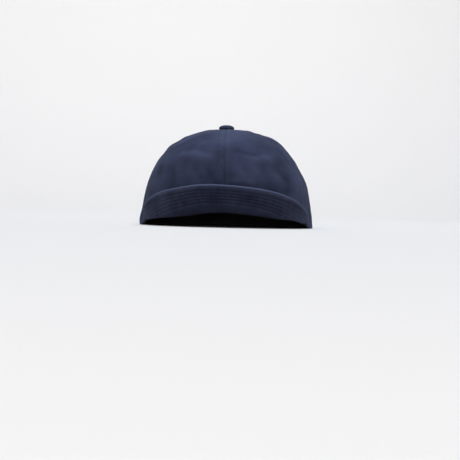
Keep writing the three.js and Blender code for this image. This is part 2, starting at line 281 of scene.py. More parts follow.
def seam_relief(turn, along, height):
    """How far the sewing at the seams and the hem lifts or sinks the cloth."""
    relief = np.zeros_like(along)
    for seam in SEAM_TURNS[:-1]:
        apart = wrapped(turn - seam) * per_degree(np.full_like(turn, seam), along)
        near = np.abs(apart)
        groove = -GROOVE_DEPTH * bell(near, GROOVE_WIDTH)
        folded = np.where(apart > 0, RIGHT_SWELL, LEFT_SWELL)
        swell = folded * smooth(near, 0, SWELL_START) * (1 - smooth(near, *SWELL_END))
        sunk = -TOPSTITCH_SINK * bell(near - TOPSTITCH, TOPSTITCH_SINK_WIDTH)
        side = np.sign(apart) * OTHER_SIDE_APART + seam
        spots = [along * ROW_PITCH / SEAM_PUCKER_LENGTH, near / SEAM_PUCKER_WIDTH, side]
        pucker = SEAM_PUCKER * crumple(np.stack(spots, -1), 1.0, seed=0.37)
        pucker *= bell(near, SEAM_PUCKER_REACH) * smooth(near, *PUCKER_START)
        relief += np.where(near < SEAM_REACH, groove + swell + sunk + pucker, 0)
    turned_up = HEM_SWELL * (1 - smooth(height, *HEM_TURN_UP))
    sunk = -HEM_SINK * bell(height - HEM_STITCH, HEM_SINK_WIDTH)
    spots = [turn * HEM_PUCKERS_PER_DEGREE, height / HEM_PUCKER_WIDTH, np.zeros_like(along)]
    pucker = HEM_PUCKER * crumple(np.stack(spots, -1), 1.0, seed=5.1)
    return relief + turned_up + sunk + pucker * (1 - smooth(height, *HEM_PUCKER_END))


# Folds in the cloth: where each starts and ends, its half width and how far it stands out.
# How far each stands out also pales or darkens the colour along it, painted light and shade,
# and some rows are there mostly for that.
FOLDS_WITH_PAINTED_LIGHT = [
    # turn, rise, turn, rise, half width, out
    (-40, 0.708, -13, 0.68, 4.8 * MM, 1.65 * MM),
    (-27, 0.6, -19, 0.56, 5.0 * MM, -0.45 * MM),
    (-70, 0.7, -60, 0.63, 2.2 * MM, 0.25 * MM),
    (-60, 0.62, -53, 0.45, 6.5 * MM, -0.95 * MM),
    (-43, 0.61, -39, 0.42, 4.0 * MM, -0.55 * MM),
    (-65, 0.785, -53, 0.83, 3.2 * MM, 1.8 * MM),
    (-53, 0.83, -48, 0.895, 3.2 * MM, 1.8 * MM),
    (-35, 0.955, 28, 0.955, 9.0 * MM, 0.6 * MM),
    (1, 0.87, 3, 0.76, 6.0 * MM, 0.6 * MM),
    (-108, 0.9, -72, 0.9, 6.0 * MM, 0.9 * MM),
    (72, 0.92, 108, 0.92, 9.0 * MM, 1.0 * MM),
    (70, 0.875, 110, 0.875, 4.0 * MM, -0.4 * MM),
    (70, 0.81, 110, 0.81, 4.5 * MM, 0.4 * MM),
    (44, 0.88, 62, 0.8, 6.0 * MM, 0.6 * MM),
    (-88, 0.42, -88, 0.76, 16.0 * MM, 0.45 * MM),
    (88, 0.36, 88, 0.76, 16.0 * MM, 0.75 * MM),
    (-71, 0.03, -69, 0.15, 2.0 * MM, 0.8 * MM),
    (-76, 0.03, -75, 0.13, 1.8 * MM, -0.8 * MM),
    (-81, 0.02, -80, 0.12, 2.2 * MM, 0.7 * MM),
    (69, 0.05, 71, 0.2, 2.4 * MM, 0.8 * MM),
    (75, 0.03, 76, 0.2, 2.0 * MM, -0.7 * MM),
    (11, 0.76, 28, 0.7, 3.6 * MM, -0.85 * MM),
    (25, 0.67, 37, 0.68, 4.2 * MM, 1.2 * MM),
    (45, 0.3, 53, 0.52, 8.5 * MM, -1.0 * MM),
    (-47, 0.62, -45, 0.44, 5.0 * MM, -0.45 * MM),
    (-20, 0.53, -15, 0.45, 5.0 * MM, -0.8 * MM),
    (-14, 0.57, -5, 0.42, 4.5 * MM, -0.8 * MM),
    (8, 0.56, 19, 0.46, 5.0 * MM, 0.7 * MM),
    (3, 0.45, 20, 0.44, 4.0 * MM, 0.9 * MM),
    (27, 0.6, 33, 0.5, 6.0 * MM, -0.6 * MM),
    (44, 0.54, 50, 0.5, 5.0 * MM, -0.4 * MM),
    (40, 0.6, 57, 0.67, 6.5 * MM, -0.8 * MM),
    (46, 0.42, 58, 0.47, 4.0 * MM, 0.4 * MM),
    (-104, 0.66, -86, 0.58, 4.0 * MM, -0.9 * MM),
    (98, 0.6, 112, 0.48, 4.5 * MM, 0.9 * MM),
    (138, 0.72, 160, 0.66, 4.0 * MM, -0.6 * MM),
    (-168, 0.6, -140, 0.52, 5.0 * MM, 1.0 * MM),
    (150, 0.38, 176, 0.44, 4.5 * MM, 0.8 * MM),
]
FOLD_AT_ENDS = 0.55


def fold_relief(points):
    """How far the folds lift or sink the cloth, each along a line between two places. The same amount
    also pales or darkens the colour there, painted light and shade.
    """
    out = np.zeros(points.shape[:-1])
    for turn_a, rise_a, turn_b, rise_b, half_width, depth in FOLDS_WITH_PAINTED_LIGHT:
        heights = CROWN_HEIGHT * np.array([rise_a, rise_b])
        ends = crown_form(np.array([turn_a, turn_b], float), along_at_height(heights))
        line = ends[1] - ends[0]
        share = np.clip((points - ends[0]) @ line / (line @ line), 0, 1)
        apart = np.linalg.norm(points - ends[0] - share[..., None] * line, axis=-1)
        swell = FOLD_AT_ENDS + (1 - FOLD_AT_ENDS) * np.sin(math.pi * share)
        out += depth * bell(apart, half_width) * swell
    return out


# Creases of washed cotton: broad soft ones, middling ones and a fine crinkle
CREASES = [
    # size, height, squeeze upward, seed
    (34 * MM, 0.8 * MM, 1.3, 2.3),
    (13 * MM, 0.5 * MM, 0.7, 7.9),
    (5.2 * MM, 0.12 * MM, 1.0, 4.4),
]


def worn_cloth(points):
    out = np.zeros(points.shape[:-1])
    for size, height, squeeze, seed in CREASES:
        out += height * crumple(points * np.array([1, 1, squeeze]), size, seed)
    return out


# Creases start above the hem and are calmer near the button, where six gores crowd together
CREASE_START = (-2 * MM, 12 * MM)
CALM_RISE = (0.9, 0.99)
CALM_SHARE = 0.6
# How strongly the sewing's relief colours the cloth: painted shade darkens the seams' grooves and
# sunk stitch lines, and the allowances' swells are paler, partly wear and partly painted light
SEAM_WEAR_AND_SHADE = 0.6


def outer_cloth(turn, along):
    """Places on the cloth's outer face, and how far each is paled or darkened in colour: painted
    light on folds and crease tops, painted shade in their hollows and in the seams' grooves and
    stitch lines, with some wear on the seams' swells.
    """
    height = above_hem(turn, along)
    form = crown_form(turn, along)
    relief = seam_relief(turn, along, height)
    calm_top = 1 - CALM_SHARE * smooth(form[..., 2] / CROWN_HEIGHT, *CALM_RISE)
    creases = worn_cloth(form) * smooth(height, *CREASE_START) * calm_top
    creases += fold_relief(form)
    out = dented(turn, along) + relief + creases
    return form + crown_normal(turn, along) * out[..., None], SEAM_WEAR_AND_SHADE * relief + creases


SAME_PLACE = 1e-6


def sewn_piece(name, patches):
    """One closed body from rectangular patches of points whose edges meet. Each patch also
    gives its weave's places in metres and how far the cloth's colour is paled or darkened:
    partly wear, partly painted light and shade."""
    places, weave, wear_and_painted_light, quads = [], [], [], []
    start = 0
    for points, grain, stand in patches:
        rows, columns = points.shape[:2]
        index = start + np.arange(rows * columns).reshape(rows, columns)
        corners = [index[:-1, :-1], index[:-1, 1:], index[1:, 1:], index[1:, :-1]]
        quads.append(np.stack(corners, -1).reshape(-1, 4))
        places.append(points.reshape(-1, 3))
        weave.append(grain.reshape(-1, 2))
        wear_and_painted_light.append(stand.reshape(-1))
        start += rows * columns
    weave, wear_and_painted_light, quads = np.vstack(weave), np.concatenate(wear_and_painted_light), np.vstack(quads)
    mesh = bpy.data.meshes.new(name)
    mesh.from_pydata(np.vstack(places).tolist(), [], quads.tolist())
    corner_points = np.empty(len(mesh.loops), dtype=np.int32)
    mesh.loops.foreach_get("vertex_index", corner_points)
    layer = mesh.uv_layers.new(name="ClothWeave")
    layer.data.foreach_set("uv", weave[corner_points].astype(np.float32).ravel())
    standing = mesh.attributes.new("wear_and_painted_light", "FLOAT", "POINT")
    standing.data.foreach_set("value", wear_and_painted_light.astype(np.float32))
    body = bmesh.new()
    body.from_mesh(mesh)
    bmesh.ops.remove_doubles(body, verts=body.verts, dist=SAME_PLACE)
    bmesh.ops.recalc_face_normals(body, faces=body.faces)
    body.to_mesh(mesh)
    body.free()
    mesh.shade_smooth()
    piece = bpy.data.objects.new(name, mesh)
    bpy.context.scene.collection.objects.link(piece)
    return piece


def paint(red, green, blue):
    """A colour as a screen shows it, 0 to 255, in the light's own numbers."""
    return tuple(((c / 255 + 0.055) / 1.055) ** 2.4 for c in (red, green, blue)) + (1.0,)


# The mix node's own sockets for two colours and the mixed one
MIX_LOW, MIX_HIGH, MIX_RESULT = 6, 7, 2


def mixed_dye(nodes, links, share, low, high):
    """A colour that goes from low to high as its share grows."""
    dye = nodes.new("ShaderNodeMix")
    dye.data_type = "RGBA"
    dye.inputs[MIX_LOW].default_value = low
    dye.inputs[MIX_HIGH].default_value = high
    links.new(share, dye.inputs["Factor"])
    return dye.outputs[MIX_RESULT]


# Cotton's finish: dull, with a faint blue fuzz, yarns spun a little unevenly (heather), and
# paler patches from washing
SHEEN_TINT = (0.62, 0.7, 0.95, 1)
SHEEN_ROUGHNESS = 0.45
COTTON_SHINE = 0.08
COTTON_ROUGHNESS = 0.78
HEATHER_ROUGHNESS = 0.16
DIAGONAL = 0.7071
RIB_SHARE = 0.5
YARN_SHARE = 0.22
HEATHER_SIZE = 1.1 * MM
HEATHER_DETAIL = 3
WASH_SIZE = 22 * MM
WASH_DETAIL = 4
HEATHER_DYE = 0.5
TWILL_DYE = 0.12
FUZZ_DEPTH = 0.12 * MM
FUZZ_STRENGTH = 0.55
TWILL_FUZZ = 0.6
HEATHER_FUZZ = 1.1


def twill_finish(name, deep, palest, weave_pitch, sheen, fade_range, wash, lift):
    """Washed cotton twill: diagonal ribs, uneven yarns, and a colour paler where the cloth stands out
    and darker in its hollows: partly faded dye, partly painted light and shade.
    """
    finish = bpy.data.materials.new(name)
    finish.use_nodes = True
    nodes, links = finish.node_tree.nodes, finish.node_tree.links
    shader = nodes["Principled BSDF"]
    shader.inputs["Sheen Weight"].default_value = sheen
    shader.inputs["Sheen Roughness"].default_value = SHEEN_ROUGHNESS
    shader.inputs["Sheen Tint"].default_value = SHEEN_TINT
    shader.inputs["Specular IOR Level"].default_value = COTTON_SHINE

    def sums(operation, first, second=0.0):
        made = nodes.new("ShaderNodeMath")
        made.operation = operation
        for socket, value in zip(made.inputs, (first, second)):
            if isinstance(value, (int, float)):
                socket.default_value = value
            else:
                links.new(value, socket)
        return made.outputs[0]

    def mottle(size, detail, source):
        made = nodes.new("ShaderNodeTexNoise")
        made.inputs["Scale"].default_value = 1 / size
        made.inputs["Detail"].default_value = detail
        links.new(source, made.inputs["Vector"])
        return made.outputs["Fac"]

    weave_map = nodes.new("ShaderNodeUVMap")
    weave_map.uv_map = "ClothWeave"
    weave = weave_map.outputs["UV"]
    split = nodes.new("ShaderNodeSeparateXYZ")
    links.new(weave, split.inputs[0])
    across, up = split.outputs["X"], split.outputs["Y"]
    per_metre = 2 * math.pi / weave_pitch * DIAGONAL
    ribs = sums("SINE", sums("MULTIPLY", sums("ADD", across, up), per_metre))
    yarns = sums("SINE", sums("MULTIPLY", sums("SUBTRACT", across, up), per_metre))
    twill = sums("ADD", sums("MULTIPLY", ribs, RIB_SHARE), sums("MULTIPLY", yarns, YARN_SHARE))
    heather = mottle(HEATHER_SIZE, HEATHER_DETAIL, weave)
    place = nodes.new("ShaderNodeTexCoord").outputs["Object"]
    washed = mottle(WASH_SIZE, WASH_DETAIL, place)

    standing = nodes.new("ShaderNodeAttribute")
    standing.attribute_name = "wear_and_painted_light"
    # Painted light and shade: the attribute pales raised cloth and darkens grooves and hollows in the
    # base colour
    lifted = sums("MULTIPLY", standing.outputs["Fac"], lift / MM)
    shade = sums("ADD", sums("MULTIPLY", washed, wash), lifted)
    shade = sums("ADD", shade, sums("MULTIPLY", heather, HEATHER_DYE))
    shade = sums("ADD", shade, sums("MULTIPLY", twill, TWILL_DYE))
    blend = nodes.new("ShaderNodeMapRange")
    blend.inputs["From Min"].default_value, blend.inputs["From Max"].default_value = fade_range
    links.new(shade, blend.inputs["Value"])
    dye = mixed_dye(nodes, links, blend.outputs["Result"], deep, palest)
    links.new(dye, shader.inputs["Base Color"])

    rough = sums("ADD", sums("MULTIPLY", heather, HEATHER_ROUGHNESS), COTTON_ROUGHNESS)
    links.new(rough, shader.inputs["Roughness"])
    fuzz = sums("ADD", sums("MULTIPLY", twill, TWILL_FUZZ), sums("MULTIPLY", heather, HEATHER_FUZZ))
    bump = nodes.new("ShaderNodeBump")
    bump.inputs["Strength"].default_value = FUZZ_STRENGTH
    bump.inputs["Distance"].default_value = FUZZ_DEPTH
    links.new(fuzz, bump.inputs["Height"])
    links.new(bump.outputs["Normal"], shader.inputs["Normal"])
    return finish


# The navy runs from deep to palest; the wide fade range lets the most raised folds reach a far paler
# colour, painted light
CROWN_DEEP = paint(41, 45, 65)
CROWN_PALEST = paint(90, 97, 128)
TWILL_PITCH = 0.62 * MM
crown_twill = twill_finish("washed navy twill", CROWN_DEEP, CROWN_PALEST, TWILL_PITCH,
                           sheen=0.035, fade_range=(0.1, 1.8), wash=0.55, lift=0.42)

# Columns lie close beside the seams, at these distances from the cut edge, and rows close
# above the hem, so that the rolled edges and stitch lines are shaped
EDGE_COLUMNS = np.array([0.0, 0.3, 0.6, 0.9, 1.25, 1.7, 2.2, 2.6, 2.95, 3.2, 3.45, 3.8, 4.3,
                         5.0, 5.8, 6.8, 8.0]) * MM
EDGE_SHARE = 0.42
MIDDLE_COLUMNS = 64
HEM_ROWS = np.array([0, 0.1, 0.3, 0.55, 0.8, 1.3, 2.2, 3.4, 4.6, 5.4, 5.8, 6.0, 6.3, 6.9,
                     7.8, 9.0, 10.2]) * MM
BODY_ROWS = 112
TOP_HOLE = 1.2 * MM
TOP_SAMPLES = 400
TOP_SEARCH = np.linspace(APEX - 1, APEX, TOP_SAMPLES)
TOP_TURNS = 9
FINE_TURNS = 241
HEM_ROUND = CLOTH_WALL / 2


def rows_of_panel():
    """Places along the crown as (metres above the hem, share of what is left to the top)."""
    rows = [(height, 0.0) for height in HEM_ROWS]
    return rows + [(HEM_ROWS[-1], k / BODY_ROWS) for k in range(1, BODY_ROWS + 1)]


def along_at_top(turn):
    """Where a gore ends, at the small hole under the button."""
    form = crown_form(np.full_like(TOP_SEARCH, turn), TOP_SEARCH)
    reach = np.hypot(form[:, 0] - TOP_X, form[:, 1] - CROWN_Y)
    return np.interp(TOP_HOLE, reach[::-1], TOP_SEARCH[::-1])


def hem_rounding(height):
    """How far an edge of a rounded hem lies in from the cloth's face."""
    below = np.clip(HEM_ROUND - height, 0, HEM_ROUND)
    return HEM_ROUND - np.sqrt(HEM_ROUND**2 - below**2)


def panel_places(from_turn, to_turn):
    """The turn and the place along of each point of a panel's grid, with its weave."""
    fine = np.linspace(from_turn, to_turn, FINE_TURNS)
    few = np.linspace(from_turn, to_turn, TOP_TURNS)
    top = np.interp(fine, few, [along_at_top(turn) for turn in few])
    turns, alongs, grains = [], [], []
    distance = 0.0
    last_middle = None
    for height, share in rows_of_panel():
        hem = along_at_height(hem_height(fine)) + height / ROW_PITCH
        along = hem + share * (top - hem)
        line = crown_form(fine, along)
        lengths = np.linalg.norm(np.diff(line, axis=0), axis=1)
        walked = np.concatenate([[0], np.cumsum(lengths)])
        width = walked[-1]
        near = EDGE_COLUMNS * min(1, EDGE_SHARE * width / EDGE_COLUMNS[-1])
        middle = np.linspace(near[-1], width - near[-1], MIDDLE_COLUMNS + 2)[1:-1]
        spots = np.concatenate([near, middle, (width - near)[::-1]])
        turns.append(np.interp(spots, walked, fine))
        alongs.append(np.interp(spots, walked, along))
        line_middle = line[FINE_TURNS // 2]
        if last_middle is not None:
            distance += float(np.linalg.norm(line_middle - last_middle))
        last_middle = line_middle
        grains.append(np.stack([spots - width / 2, np.full_like(spots, distance)], -1))
    return np.array(turns), np.array(alongs), np.array(grains)


# The allowances on the inside, from above the sweatband up
ALLOWANCE_THICKNESS = 0.55 * MM
ALLOWANCE_EDGE = (5.2 * MM, 5.9 * MM)
ALLOWANCE_START = (33 * MM, 34 * MM)
AT_HEM = 1e-9


def crown_panel(name, from_turn, to_turn):
    turn, along, grain = panel_places(from_turn, to_turn)
    above = above_hem(turn, along)
    rounding = hem_rounding(above)
    outer, wear_and_painted_light = outer_cloth(turn, along)
    normal = crown_normal(turn, along)
    level = normal * np.array([1, 1, 0])
    level /= np.linalg.norm(level, axis=-1, keepdims=True)
    inward = np.where(above[..., None] < HEM_ROUND, level, normal)
    outer = outer - inward * rounding[..., None]
    near = np.minimum(turn - from_turn, to_turn - turn) * per_degree(turn, along)
    allowance = ALLOWANCE_THICKNESS * (1 - smooth(near, *ALLOWANCE_EDGE))
    allowance *= smooth(above, *ALLOWANCE_START)
    inset = CLOTH_WALL - dented(turn, along) - rounding + allowance
    inner = crown_form(turn, along) - inward * inset[..., None]
    for face in (outer, inner):
        face[..., 2] = np.where(above < AT_HEM, hem_height(turn), face[..., 2])
    plain = np.zeros_like(along)
    left = np.stack([inner[:, 0], outer[:, 0]], 1)
    right = np.stack([outer[:, -1], inner[:, -1]], 1)
    top = np.stack([outer[-1], inner[-1]], 0)
    bottom = np.stack([inner[0], outer[0]], 0)
    patches = [
        (outer, grain, wear_and_painted_light),
        (inner[:, ::-1], grain[:, ::-1], plain),
        (left, grain[:, :2], plain[:, :2]),
        (right, grain[:, -2:], plain[:, :2]),
        (top, grain[-2:], plain[:2]),
        (bottom, grain[:2], plain[:2]),
    ]
    panel = sewn_piece(f"panel_{name}", patches)
    panel.data.materials.append(crown_twill)
    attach(panel, "root")
    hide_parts(f"crown_panel_{name}")


for panel_index, panel_name in enumerate(PANEL_NAMES):
    crown_panel(panel_name, SEAM_TURNS[panel_index], SEAM_TURNS[panel_index + 1])

# The topstitching: navy polyester thread in a lockstitch, two rows to each seam and one
# round the hem. Each stitch lies on the cloth and dives into it at both ends.
STITCH_LENGTH = 2.5 * MM
STITCH_GAP = 0.45 * MM
THREAD_RADIUS = 0.2 * MM
THREAD_SIDES = 6
THREAD_NUDGE = 0.2 * MM
# share of the stitch's length, share of the thread's radius, and how far it is sunk in radii
STITCH_RINGS = np.array([(0, 0.15, 1.2), (0.12, 0.75, 0.2), (0.32, 1, -0.35), (0.68, 1, -0.35),
                         (0.88, 0.75, 0.2), (1, 0.15, 1.2)])


def stitch_faces():
    """The faces of one stitch: its sides, and two quads over each end."""
    rings = len(STITCH_RINGS)
    faces = []
    for side in range(THREAD_SIDES):
        after = (side + 1) % THREAD_SIDES
        for ring in range(rings - 1):
            here, there = ring * THREAD_SIDES, (ring + 1) * THREAD_SIDES
            faces.append((here + side, there + side, there + after, here + after))
    first_end = list(range(THREAD_SIDES))
    last_end = [(rings - 1) * THREAD_SIDES + side for side in reversed(first_end)]
    for end in (first_end, last_end):
        faces += [tuple(end[:4]), (end[0], *end[3:])]
    return np.array(faces)


def stitch_row(places, normals):
    """Points and faces of a row of stitches along a line on the cloth."""
    steps = np.linalg.norm(np.diff(places, axis=0), axis=1)
    walked = np.concatenate([[0], np.cumsum(steps)])
    count = int(walked[-1] // (STITCH_LENGTH + STITCH_GAP))
    if count < 1:
        return np.zeros((0, 3)), np.zeros((0, 4), int)
    starts = (np.arange(count) + 0.5) * walked[-1] / count - STITCH_LENGTH / 2

    def at(values, where):
        flat = [np.interp(where.ravel(), walked, values[:, axis]) for axis in range(3)]
        return np.stack(flat, -1).reshape(where.shape + (3,))

    spots = starts[:, None] + STITCH_RINGS[:, 0] * STITCH_LENGTH
    centre = at(places, spots)
    up = at(normals, spots)
    up /= np.linalg.norm(up, axis=-1, keepdims=True)
    ahead = at(places, spots + THREAD_NUDGE) - at(places, spots - THREAD_NUDGE)
    side = np.cross(up, ahead)
    side /= np.linalg.norm(side, axis=-1, keepdims=True) + 1e-12
    centre = centre - up * (STITCH_RINGS[:, 2] * THREAD_RADIUS)[None, :, None]
    angle = np.arange(THREAD_SIDES) * 2 * math.pi / THREAD_SIDES
    thick = (STITCH_RINGS[:, 1] * THREAD_RADIUS)[None, :, None, None]
    ring = side[:, :, None] * np.cos(angle)[:, None] + up[:, :, None] * np.sin(angle)[:, None]
    points = (centre[:, :, None] + ring * thick).reshape(-1, 3)
    per_stitch = len(STITCH_RINGS) * THREAD_SIDES
    faces = stitch_faces()[None] + (np.arange(count) * per_stitch)[:, None, None]
    return points, faces.reshape(-1, 4)


def thread_piece(name, rows, finish):
    """Many rows of stitches as one piece."""
    points, faces, start = [], [], 0
    for row_points, row_faces in rows:
        points.append(row_points)
        faces.append(row_faces + start)
        start += len(row_points)
    mesh = bpy.data.meshes.new(name)
    mesh.from_pydata(np.vstack(points).tolist(), [], np.vstack(faces).tolist())
    mesh.shade_smooth()
    piece = bpy.data.objects.new(name, mesh)
    bpy.context.scene.collection.objects.link(piece)
    piece.data.materials.append(finish)
    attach(piece, "root")


THREAD_SHINE = 0.4
THREAD_SHEEN = 0.15
THREAD_MOTTLE = 2.2 * MM
THREAD_DARK = 0.72
THREAD_PALE = 1.3
THREAD_ROUGHNESS = (0.5, 0.75)


def thread_finish(name, colour):
    """Twisted polyester thread: a slight gloss and uneven dye from stitch to stitch."""
    finish = bpy.data.materials.new(name)
    finish.use_nodes = True
    nodes, links = finish.node_tree.nodes, finish.node_tree.links
    shader = nodes["Principled BSDF"]
    shader.inputs["Specular IOR Level"].default_value = THREAD_SHINE
    shader.inputs["Sheen Weight"].default_value = THREAD_SHEEN
    mottle = nodes.new("ShaderNodeTexNoise")
    mottle.inputs["Scale"].default_value = 1 / THREAD_MOTTLE
    links.new(nodes.new("ShaderNodeTexCoord").outputs["Object"], mottle.inputs["Vector"])
    dark, pale = (tuple(c * share for c in colour[:3]) + (1,) for share in (THREAD_DARK, THREAD_PALE))
    dye = mixed_dye(nodes, links, mottle.outputs["Fac"], dark, pale)
    links.new(dye, shader.inputs["Base Color"])
    rough = nodes.new("ShaderNodeMapRange")
    rough.inputs["To Min"].default_value, rough.inputs["To Max"].default_value = THREAD_ROUGHNESS
    links.new(mottle.outputs["Fac"], rough.inputs["Value"])
    links.new(rough.outputs["Result"], shader.inputs["Roughness"])
    return finish


THREAD_NAVY = paint(50, 56, 82)
crown_thread = thread_finish("navy sewing thread", THREAD_NAVY)
SEAM_SAMPLES = 900
SEAM_START = 1.2 * MM
SEAM_END = APEX - 0.3
BUTTON_CLEARANCE = 7.0 * MM
seam_rows = []
for seam in SEAM_TURNS[:-1]:
    for side in (-1, 1):
        hem_along = float(along_at_height(hem_height(np.array([seam])))[0])
        along_line = np.linspace(hem_along + SEAM_START / ROW_PITCH, SEAM_END, SEAM_SAMPLES)
        seam_line = np.full_like(along_line, seam)
        turn_line = seam_line + side * TOPSTITCH / per_degree(seam_line, along_line)
        cloth, _ = outer_cloth(turn_line, along_line)
        clear = np.hypot(cloth[:, 0] - TOP_X, cloth[:, 1] - CROWN_Y) > BUTTON_CLEARANCE
        seam_rows.append(stitch_row(cloth[clear], crown_normal(turn_line, along_line)[clear]))
thread_piece("seam_topstitching", seam_rows, crown_thread)

ROUND_SAMPLES = 2400
hem_turn = wrapped(np.linspace(0, 360, ROUND_SAMPLES))
hem_along = along_at_height(hem_height(hem_turn)) + HEM_STITCH / ROW_PITCH
hem_cloth, _ = outer_cloth(hem_turn, hem_along)
hem_row = stitch_row(hem_cloth, crown_normal(hem_turn, hem_along))
thread_piece("hem_stitching", [hem_row], crown_thread)

# The sweatband: a near-black cotton tape sewn round inside the hem and turned up. It hangs
# a little clear of the cloth, ripples slightly, and is stitched along both edges.
BAND_HEIGHT = 30 * MM
BAND_THICKNESS = 1.0 * MM
BAND_RECESS = 0.5 * MM
BAND_COLUMNS = 420
BAND_ROWS = 26
BAND_STITCH = 2.6 * MM
BAND_GROOVE = 0.2 * MM
BAND_GROOVE_WIDTH = 0.6 * MM
BAND_EDGE_SQUARENESS = 16
BAND_WAVE = 0.55 * MM
BAND_WAVE_COUNTS = (0.11, 1.2)
BAND_WAVE_WEAR = 0.3
BAND_CRINKLE = 0.12 * MM
BAND_CRINKLE_COUNTS = (0.4, 2.5)
BAND_HELD = 0.35
BAND_LOOSE_CLIMB = 0.6


def band_face(turn, climb, inset):
    """The sweatband at a share of its height, set in from the crown's outer face."""
    height = hem_height(turn) + BAND_RECESS + BAND_HEIGHT * climb
    along = along_at_height(height)
    out = dented(turn, along) - CLOTH_WALL - PIECE_GAP - inset
    normal = crown_normal(turn, along)
    place = crown_form(turn, along) + normal * out[..., None]
    place[..., 2] = height
    return place, normal


def band_ripple(turn, climb):
    """How far the tape waves inward: less along the hem, where it is sewn down."""

    def waves(counts, seed):
        per_turn, per_climb = counts
        spots = np.stack([turn * per_turn, climb * per_climb, np.zeros_like(climb)], -1)
        return crumple(spots, 1.0, seed)

    held = BAND_HELD + (1 - BAND_HELD) * smooth(climb, 0, BAND_LOOSE_CLIMB)
    wave = BAND_WAVE * (waves(BAND_WAVE_COUNTS, seed=3.3) + 1)
    return (wave + BAND_CRINKLE * waves(BAND_CRINKLE_COUNTS, seed=8.8)) * held


band_turn = np.linspace(-180, 180, BAND_COLUMNS + 1)
band_climb = 0.5 - 0.5 * np.cos(np.linspace(0, math.pi, BAND_ROWS + 1))
grid_turn, grid_climb = np.meshgrid(band_turn, band_climb)
rolled = np.sqrt(np.clip(1 - (2 * grid_climb - 1) ** BAND_EDGE_SQUARENESS, 0, 1))
ripple = band_ripple(grid_turn, grid_climb)
ripple[:, -1] = ripple[:, 0]
middle_inset = BAND_THICKNESS / 2 + ripple
line_groove = bell(grid_climb * BAND_HEIGHT - BAND_STITCH, BAND_GROOVE_WIDTH)
line_groove += bell((1 - grid_climb) * BAND_HEIGHT - BAND_STITCH, BAND_GROOVE_WIDTH)
line_groove *= BAND_GROOVE
band_half = BAND_THICKNESS / 2 * rolled
band_inside, _ = band_face(grid_turn, grid_climb, middle_inset + band_half - line_groove)
band_outside, _ = band_face(grid_turn, grid_climb, middle_inset - band_half)
band_run = np.radians(grid_turn) * (HALF_WIDTH + HALF_DEPTH) / 2
band_weave = np.stack([band_run, grid_climb * BAND_HEIGHT], -1)
# The tape is paler where it waves inward, from wear, and its stitch grooves are darkened, painted
# shade
band_wear_and_shade = ripple * BAND_WAVE_WEAR - line_groove
sweatband = sewn_piece("sweatband_tape", [
    (band_inside[:, ::-1], band_weave[:, ::-1], band_wear_and_shade[:, ::-1]),
    (band_outside, band_weave, np.zeros_like(band_wear_and_shade)),
])
# The tape is coloured a paler grey than near black: painted light for the dim inside of the cap
BAND_DEEP_PAINTED_LIGHT = paint(66, 63, 66)
BAND_PALEST_PAINTED_LIGHT = paint(96, 92, 95)
BAND_PITCH = 0.9 * MM
band_tape = twill_finish("near black cotton tape", BAND_DEEP_PAINTED_LIGHT, BAND_PALEST_PAINTED_LIGHT, BAND_PITCH,
                         sheen=0.03, fade_range=(0.2, 1.05), wash=0.75, lift=0.42)
sweatband.data.materials.append(band_tape)
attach(sweatband, "root")
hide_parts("sweatband")

THREAD_BLACK = paint(57, 57, 66)
band_thread = thread_finish("black sewing thread", THREAD_BLACK)
line_turn = np.linspace(-180, 180, ROUND_SAMPLES)
band_rows = []
for climb in (BAND_STITCH / BAND_HEIGHT, 1 - BAND_STITCH / BAND_HEIGHT):
    line_climb = np.full_like(line_turn, climb)
    inset = BAND_THICKNESS + band_ripple(line_turn, line_climb) - BAND_GROOVE
    tape, tape_normal = band_face(line_turn, line_climb, inset)
    band_rows.append(stitch_row(tape, -tape_normal))
thread_piece("sweatband_stitching", band_rows, band_thread)

# The brim: a short stiffened board covered in the crown's twill on both faces, sewn into
# the hem and turned up in front of the crown. Five rows of topstitching run parallel to its
# rolled outer edge, and the cloth stands up a little between them.
BRIM_REACH = 30.0 * MM
BRIM_HALF = BRIM_THICKNESS / 2
BRIM_FRONT_LEAN = 37.0
BRIM_END_LEAN = 6.0
LEAN_FULLNESS = 0.8
BRIM_FOLD_RADIUS = 0.5 * MM
BRIM_CORNER_RADIUS = 5.0 * MM
BRIM_STATIONS = 300
BOARD_STEPS = 72
EDGE_STEPS = 12
FOLD_STEPS = 9

# Each station stands on the hem: its place, the way out from the crown, and how far along
share_line = np.sin(np.pi * np.linspace(-0.5, 0.5, BRIM_STATIONS))
root_turn = share_line * BRIM_HALF_TURN
root_along = along_at_height(hem_height(root_turn))
root_place = crown_form(root_turn, root_along)
root_out = crown_normal(root_turn, root_along) * np.array([1, 1, 0])
root_out /= np.linalg.norm(root_out, axis=-1, keepdims=True)
root_steps = np.linalg.norm(np.diff(root_place[:, :2], axis=0), axis=1)
root_walk = np.concatenate([[0], np.cumsum(root_steps)])

# The board leans out most in front, and its reach shrinks to rounded corners at both ends
end_distance = np.minimum(root_walk, root_walk[-1] - root_walk)
frontness = np.clip(np.cos(share_line * math.pi / 2), 0, 1) ** LEAN_FULLNESS
lean = np.radians(BRIM_END_LEAN + (BRIM_FRONT_LEAN - BRIM_END_LEAN) * frontness)
full_reach = BRIM_REACH * brim_form(root_turn)[:, 2]
into_corner = np.clip(1 - end_distance / BRIM_CORNER_RADIUS, 0, 1)
reach = full_reach - BRIM_CORNER_RADIUS * (1 - np.sqrt(1 - into_corner**2))
edge_slope = np.gradient(full_reach, root_walk)
square_to_edge = 1 / np.sqrt(1 + edge_slope**2)
end_part = np.clip(end_distance / BRIM_HALF, 0, 1)
end_round = np.sqrt(np.clip(1 - (1 - end_part) ** 2, 0, 1))

# Two places under the hem, where the board is sewn in, and then the fold
HOOK_OUT = (-CLOTH_WALL, -0.6 * MM)
FOLD_MIDDLE = BRIM_FOLD_RADIUS + BRIM_HALF


